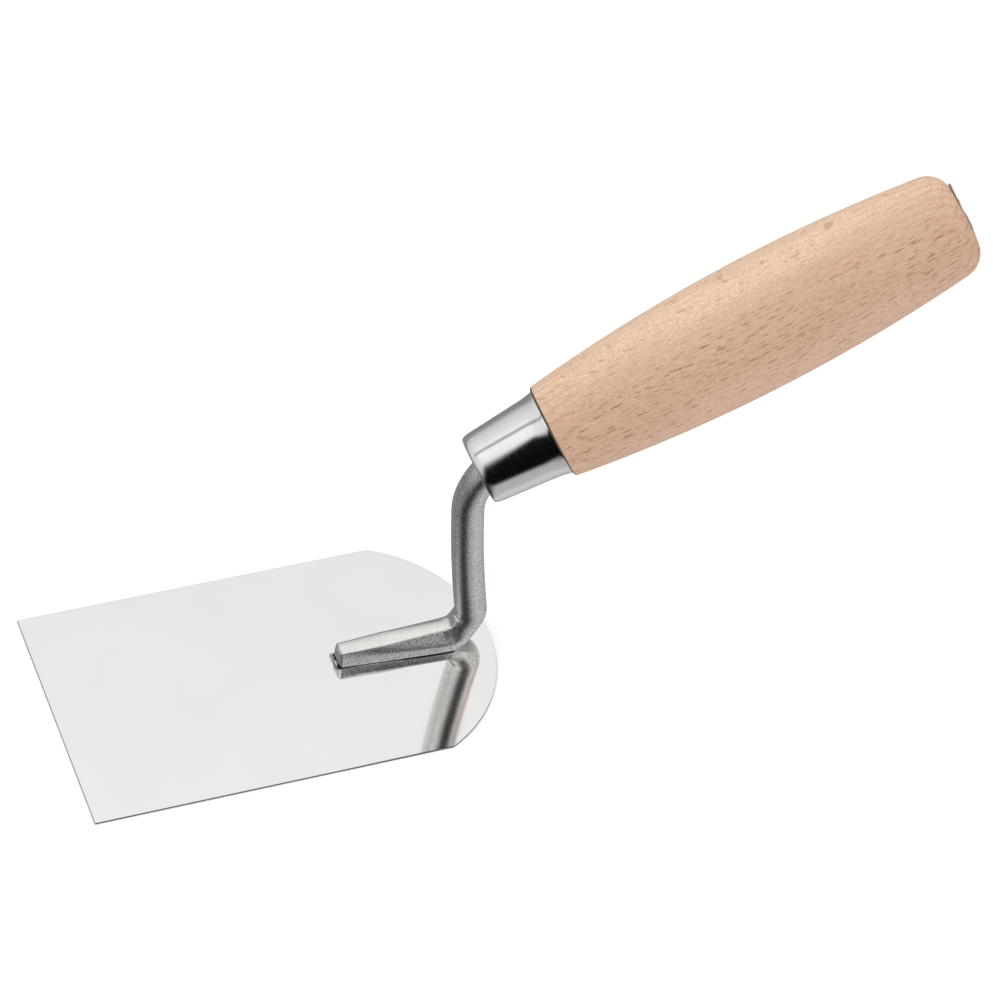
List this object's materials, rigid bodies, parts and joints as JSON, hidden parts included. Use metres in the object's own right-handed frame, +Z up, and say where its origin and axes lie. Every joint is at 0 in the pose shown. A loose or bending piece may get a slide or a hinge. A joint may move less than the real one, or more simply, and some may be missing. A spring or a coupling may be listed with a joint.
{
  "type": "plasterer's trowel",
  "caption": "Hand trowel with a flat rectangular blade rounded at the rear, a cranked round-bar neck, a conical ferrule and a turned wooden handle.",
  "frame": {"origin": "centre of the blade's flat underside, on the centre line, halfway between the front edge and the rear end", "axes": "+X runs from the blade's front edge towards the handle, +Z is up out of the blade's top face, +Y is across the blade"},
  "size_m": [0.2702, 0.08, 0.1527],
  "materials": {
    "blade_steel": "mirror-polished stainless sheet with faint polishing lines",
    "forged_steel": "satin, drop-forged and tumbled, slightly grainy",
    "polished_steel": "polished",
    "beech": "steamed beech, turned and finely sanded, raw with a faint wax sheen"
  },
  "bodies": {
    "root": {"blade": "blade_steel", "shank": "forged_steel", "weld_spots": "forged_steel", "ferrule": "polished_steel", "handle": "beech", "rivet_washer": "polished_steel"}
  },
  "joints": []
}
